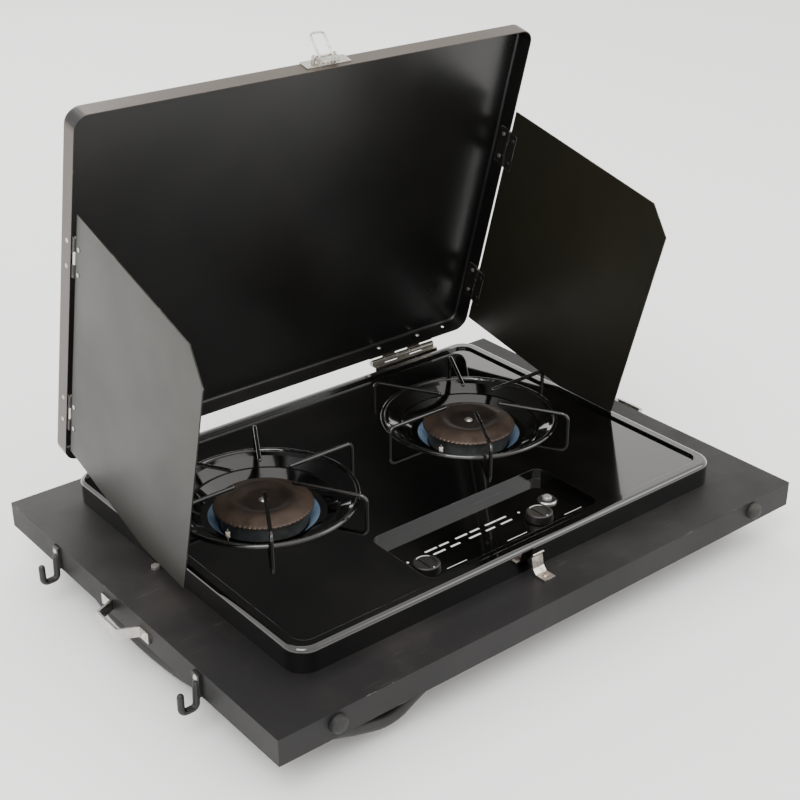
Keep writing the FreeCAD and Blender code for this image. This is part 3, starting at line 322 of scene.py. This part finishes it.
def screen_painted_shade(tree, place, colour):
    """Painted shade and reflection: the screens darken towards the cooktop, where they reflect the dark tray."""
    rise = add_node(tree, "ShaderNodeSeparateXYZ", {0: place}).outputs["Z"]
    # painted shade and reflection, strongest nearest the cooktop
    painted_shade = ramp(tree, rise, 0.30, 0.10)
    return mix(tree, maths(tree, "MULTIPLY", painted_shade, 0.55), colour, rgb(20, 20, 18))


MATERIALS = {
    "tray_paint": finish("tray textured paint", rgb(19, 17, 18), rgb(14, 13, 14), 0.50, grain=1500.0,
                         bump=0.42, wear=0.35, dust=0.05, specks=0.30, scratch=0.24, specular=0.28,
                         wear_colour=rgb(118, 112, 104)),
    "box_paint": finish("burner box paint", rgb(16, 15, 16), rgb(12, 12, 12), 0.55, bump=0.2, dust=0.12),
    "enamel": finish("porcelain enamel", rgb(4, 4, 4), rgb(3, 3, 3), 0.08, coat=0.8, coat_rough=0.03,
                     grain=260.0, bump=0.05, wear=0.08, wear_colour=rgb(60, 58, 55), dust=0.012,
                     specks=0.10, scratch=0.03, soft=0.0008),
    # the lid paint's tint is a painted highlight and wear on the outer walls
    "lid_paint": finish("lid paint", rgb(13, 12, 12), rgb(10, 9, 9), 0.32, grain=1200.0, bump=0.16,
                        wear=0.42, wear_colour=rgb(96, 86, 76), dust=0.03, specks=0.10, scratch=0.08,
                        tint=lid_outside_highlight_and_wear),
    # the screen paint's tint is painted shade and reflection, darkening towards the cooktop
    "screen_paint": finish("screen paint", rgb(30, 29, 20), rgb(25, 24, 17), 0.38, grain=1300.0, bump=0.16,
                           wear=0.45, wear_colour=rgb(120, 114, 102), dust=0.03, specks=0.12,
                           scratch=0.14, specular=0.35, tint=screen_painted_shade),
    "zinc": finish("zinc plate", rgb(206, 203, 196), rgb(172, 168, 158), 0.36, metal=0.9, patch=90.0,
                   bump=0.12, wear=0.2, dust=0.06, rust=0.30),
    "nickel": finish("nickel plate", rgb(206, 203, 196), rgb(172, 168, 160), 0.22, metal=1.0, patch=70.0,
                     bump=0.08, wear=0.2, dust=0.05, rust=0.26, scratch=0.4),
    "burner_alloy": finish("cast burner alloy", rgb(120, 116, 108), rgb(84, 80, 74), 0.5, metal=0.9,
                           patch=40.0, bump=0.4, wear=0.3, dust=0.1),
    "cap_iron": finish("burner cap iron", rgb(58, 48, 42), rgb(40, 34, 30), 0.42, metal=0.6, patch=50.0,
                       grain=700.0, bump=0.5, wear=0.5, wear_colour=rgb(170, 146, 122), dust=0.10,
                       tint=heat_rings),
    "bowl_steel": finish("heat-blued steel", rgb(150, 178, 206), rgb(112, 138, 170), 0.42, metal=0.25,
                         patch=28.0, bump=0.12, wear=0.2, dust=0.08),
    "ceramic": finish("white ceramic", rgb(226, 220, 206), rgb(206, 198, 180), 0.25, wear=0.1, dust=0.1),
    "brass": finish("brass", rgb(190, 150, 78), rgb(150, 112, 52), 0.3, metal=1.0, patch=50.0, wear=0.2),
    "knob_plastic": finish("knob plastic", rgb(11, 11, 11), rgb(8, 8, 8), 0.36, grain=1600.0,
                           bump=0.2, wear=0.15, wear_colour=rgb(70, 70, 68), dust=0.08),
    "button_grey": finish("button plastic", rgb(160, 160, 158), rgb(140, 140, 138), 0.22, wear=0.1,
                          metal=0.3, dust=0.05),
    "wire_enamel": finish("wire enamel", rgb(7, 7, 7), rgb(11, 10, 9), 0.2, coat=0.5, grain=500.0,
                          bump=0.2, wear=0.1, dust=0.03, scratch=0.1),
    "cast_black": finish("black cast hook", rgb(11, 11, 11), rgb(8, 8, 8), 0.42, grain=600.0, bump=0.5,
                         wear=0.35, dust=0.1),
    "rubber": finish("bumper rubber", rgb(12, 12, 12), rgb(9, 9, 9), 0.62, bump=0.35, wear=0.05,
                     wear_colour=rgb(70, 68, 66), dust=0.18),
    "hose_rubber": finish("hose rubber", rgb(8, 8, 8), rgb(6, 6, 6), 0.55, bump=0.3, wear=0.0,
                          dust=0.16),
    "print_white": finish("white print", rgb(226, 226, 222), rgb(200, 200, 196), 0.4, wear=0.0, dust=0.0,
                          specks=0.0, scratch=0.1, wear_colour=rgb(120, 120, 118)),
}


def rusty(name, amount):
    """The plated finish again, duller and with more rust."""
    return finish(name, rgb(196, 192, 184), rgb(150, 140, 128), 0.3, metal=1.0, patch=70.0, bump=0.15, wear=0.2, dust=0.05,
                  rust=amount, scratch=0.4)


def dress_frame():
    """Every node of the frame takes the finish of its slot, or the finish listed here as its own."""
    slots = {part["node"]: part["material_slot"] for part in RECORD["subparts"]}
    dark_leaf = finish("painted leaf", rgb(20, 19, 18), rgb(30, 28, 26), 0.34, wear=0.7, dust=0.05,
                       wear_colour=rgb(120, 116, 108), metal=0.2)
    own = {"screen_leaves_right": dark_leaf, "screen_leaves_lid": dark_leaf, "screen_studs_right": dark_leaf,
           "keeper_rivet": rusty("rusted rivet", 0.75), "keeper": rusty("keeper plate", 0.42)}
    for name, node in NODES.items():
        material = own.get(name) or MATERIALS[slots[name]]
        if not node.material_slots:
            node.data.materials.append(material)
        for place in node.material_slots:
            place.material = material


# ------------------------------------------------------------------ mesh tools
def make_piece(name, points, faces, material, body, smooth=False):
    """A mesh object from arrays of corners and faces, riding on a body."""
    mesh = bpy.data.meshes.new(name)
    mesh.from_pydata(np.asarray(points, float).tolist(), [], [list(f) for f in faces])
    mesh.update()
    mesh.materials.append(material)
    if smooth:
        mesh.polygons.foreach_set("use_smooth", np.ones(len(mesh.polygons), bool))
    made = bpy.data.objects.new(name, mesh)
    bpy.context.scene.collection.objects.link(made)
    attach(made, body)
    return made


def ring_faces(rows, columns):
    """Quads of a grid closed both ways: rows round the section, columns round the turn."""
    i = np.arange(rows)[:, None]
    j = np.arange(columns)[None, :]
    a = i * columns + j
    b = i * columns + (j + 1) % columns
    c = (i + 1) % rows * columns + (j + 1) % columns
    d = (i + 1) % rows * columns + j
    return np.stack([a, b, c, d], -1).reshape(-1, 4)


def arc_band(centre, r0, r1, z0, z1, a0, a1, steps):
    """Closed flat band: radius r0..r1, angle a0..a1, height z0..z1."""
    t = np.linspace(a0, a1, steps)
    ring = np.stack([np.cos(t), np.sin(t)], 1)
    corners = []
    for r, z in ((r0, z0), (r1, z0), (r1, z1), (r0, z1)):
        corners.append(np.column_stack([centre[0] + r * ring[:, 0], centre[1] + r * ring[:, 1],
                                        np.full(steps, z)]))
    points = np.concatenate(corners)
    faces = []
    for k in range(4):
        n = (k + 1) % 4
        for i in range(steps - 1):
            faces.append((k * steps + i, k * steps + i + 1, n * steps + i + 1, n * steps + i))
    faces.append((0, steps, 2 * steps, 3 * steps))
    faces.append((4 * steps - 1, 3 * steps - 1, 2 * steps - 1, steps - 1))
    return points, faces


def joined(parts):
    points, faces, start = [], [], 0
    for p, f in parts:
        points.append(p)
        faces.extend([tuple(np.add(face, start)) for face in f])
        start += len(p)
    return np.concatenate(points), faces


def bar(x0, x1, y0, y1, z0, z1):
    """Closed box between two corners."""
    xs, ys, zs = (x0, x1), (y0, y1), (z0, z1)
    points = np.array([(x, y, z) for z in zs for y in ys for x in xs])
    faces = [(0, 2, 3, 1), (4, 5, 7, 6), (0, 1, 5, 4), (2, 6, 7, 3), (0, 4, 6, 2), (1, 3, 7, 5)]
    return points, faces


def disc(x, y, r, z0, z1, steps=20):
    """Closed flat disc: a fan of points round a circle, top and bottom."""
    t = np.arange(steps) * TAU / steps
    low = np.column_stack([x + r * np.cos(t), y + r * np.sin(t), np.full(steps, z0)])
    high = low + (0, 0, z1 - z0)
    side = [(i, (i + 1) % steps, steps + (i + 1) % steps, steps + i) for i in range(steps)]
    return np.concatenate([low, high]), side + [tuple(range(steps))[::-1], tuple(range(steps, 2 * steps))]


# ------------------------------------------------------------------ printed marks
def print_marks():
    """Plain lines and dots printed on the recess floor and the knobs; no lettering."""
    low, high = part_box("knob_left")
    floor = low.z - KNOB_CLEARANCE
    z0, z1 = floor + PRINT_LIFT, floor + PRINT_TOP
    left = (low + high) * 0.5
    low_r, high_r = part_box("knob_right")
    right = (low_r + high_r) * 0.5
    parts = []
    y = left.y - 0.0105
    for x0, x1 in ((-0.072, -0.047), (0.006, 0.032), (0.084, 0.108)):
        parts.append(bar(x0, x1, y - 0.0004, y + 0.0004, z0, z1))
    for row, starts in ((0.0245, (-0.070, -0.052, -0.031, -0.012, 0.008, 0.024)),
                        (0.0165, (-0.066, -0.044, -0.020, 0.002, 0.022))):
        for i, x in enumerate(starts):
            wide = 0.012 if i % 2 else 0.015
            parts.append(bar(x, x + wide, left.y + row - 0.0011, left.y + row + 0.0011, z0, z1))
    for x, dy in ((left.x - 0.0052, 0.0213), (right.x - 0.0077, 0.0218), (left.x - 0.018, -0.003)):
        parts.append(disc(x, left.y + dy, 0.0014, z0, z1))
    points, faces = joined(parts)
    marks = make_piece("recess_marks", points, faces, MATERIALS["print_white"], "base")
    for side, centre, top in (("left", left, high.z), ("right", right, high_r.z)):
        band = arc_band((centre.x, centre.y), 0.0102, 0.0111, top + 0.00002, top + 0.0001,
                        math.radians(35), math.radians(115), 24)
        dot = disc(centre.x, centre.y - 0.0112, 0.0008, top + 0.00002, top + 0.0001)
        points, faces = joined([band, dot])
        piece = make_piece("knob_marks_" + side, points, faces, MATERIALS["print_white"], "knob_" + side)


# ------------------------------------------------------------------ burner caps
def cap_surface(centre, bottom, top, outer, ports=60, columns=480):
    """Closed turned section: radius is the profile's radius, drawn in by ports*cosine notches at the edge."""
    h = top - bottom
    section = np.array([
        (0.0000, 0.60), (0.0190, 0.60), (0.0216, 0.62), (0.0235, 0.70), (0.0292, 0.95), (0.0308, 0.995),
        (0.0328, 0.998), (0.0348, 0.965), (0.0400, 0.74), (0.0450, 0.53), (0.0492, 0.34), (0.0508, 0.25),
        (0.0517, 0.16), (0.0519, 0.08), (0.0515, 0.00), (0.0480, 0.02), (0.0400, 0.35), (0.0330, 0.62),
        (0.0290, 0.58), (0.0210, 0.30), (0.0000, 0.30)])
    r = section[:, 0] * outer / CAP_RADIUS
    z = bottom + section[:, 1] * h
    t = np.arange(columns) * TAU / columns
    notch = np.clip(np.cos(ports * t) * 2.0 - 0.9, 0, 1)
    edge = np.clip((r - 0.0485) / 0.0025, 0, 1) * np.clip((0.30 - section[:, 1]) / 0.1, 0, 1)
    rr = r[:, None] - 0.0011 * edge[:, None] * notch[None, :]
    points = np.stack([centre.x + rr * np.cos(t), centre.y + rr * np.sin(t),
                       np.broadcast_to(z[:, None], rr.shape)], -1).reshape(-1, 3)
    faces = ring_faces(len(r), columns)[:-columns]
    return points, faces


def burner_caps():
    for side in ("left", "right"):
        node = "burner_cap_" + side
        low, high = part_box(node)
        centre = (low + high) * 0.5
        points, faces = cap_surface(centre, low.z, high.z, (high.x - low.x) * 0.5)
        cap = make_piece("ported_cap_" + side, points, faces, MATERIALS["cap_iron"], "base", True)
        clean(cap)
        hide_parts(node)


def clean(piece):
    """Merges doubled corners and turns faces outwards."""
    made = bmesh.new()
    made.from_mesh(piece.data)
    bmesh.ops.remove_doubles(made, verts=made.verts, dist=1e-6)
    bmesh.ops.recalc_face_normals(made, faces=made.faces)
    made.to_mesh(piece.data)
    made.free()


# ------------------------------------------------------------------ studio
def studio():
    """Pale floor that runs far back, an even pale surround and soft boxes."""
    mesh = bpy.data.meshes.new("studio_floor")
    mesh.from_pydata([(-12, -12, -0.0004), (12, -12, -0.0004), (12, 12, -0.0004), (-12, 12, -0.0004)],
                     [], [(0, 1, 2, 3)])
    floor = bpy.data.objects.new("studio_floor", mesh)
    material = bpy.data.materials.new("pale floor")
    material.use_nodes = True
    shader = material.node_tree.nodes["Principled BSDF"]
    shader.inputs["Base Color"].default_value = (0.96, 0.96, 0.96, 1.0)
    shader.inputs["Roughness"].default_value = 0.85
    shader.inputs["Specular IOR Level"].default_value = 0.2
    mesh.materials.append(material)
    bpy.context.scene.collection.objects.link(floor)
    world = bpy.data.worlds.new("studio_world")
    world.use_nodes = True
    back = world.node_tree.nodes["Background"]
    back.inputs["Color"].default_value = (1.0, 0.985, 0.96, 1.0)
    back.inputs["Strength"].default_value = 1.7
    bpy.context.scene.world = world
    for name, place, size, power in (("key", (-1.6, -1.2, 2.6), 1.6, 62.0), ("fill", (2.2, -1.8, 2.0), 1.6, 26.0),
                                     ("back", (0.3, 2.6, 2.2), 2.0, 44.0)):
        data = bpy.data.lights.new(name, "AREA")
        data.size = size
        data.energy = power
        lamp = bpy.data.objects.new(name, data)
        lamp.location = place
        aim = np.array([0.0, 0.0, 0.15]) - np.array(place)
        yaw = math.atan2(aim[1], aim[0])
        pitch = math.atan2(math.hypot(aim[0], aim[1]), -aim[2])
        lamp.rotation_euler = (pitch, 0.0, yaw - math.pi / 2)
        bpy.context.scene.collection.objects.link(lamp)


place_camera()
dress_frame()
print_marks()
burner_caps()
studio()
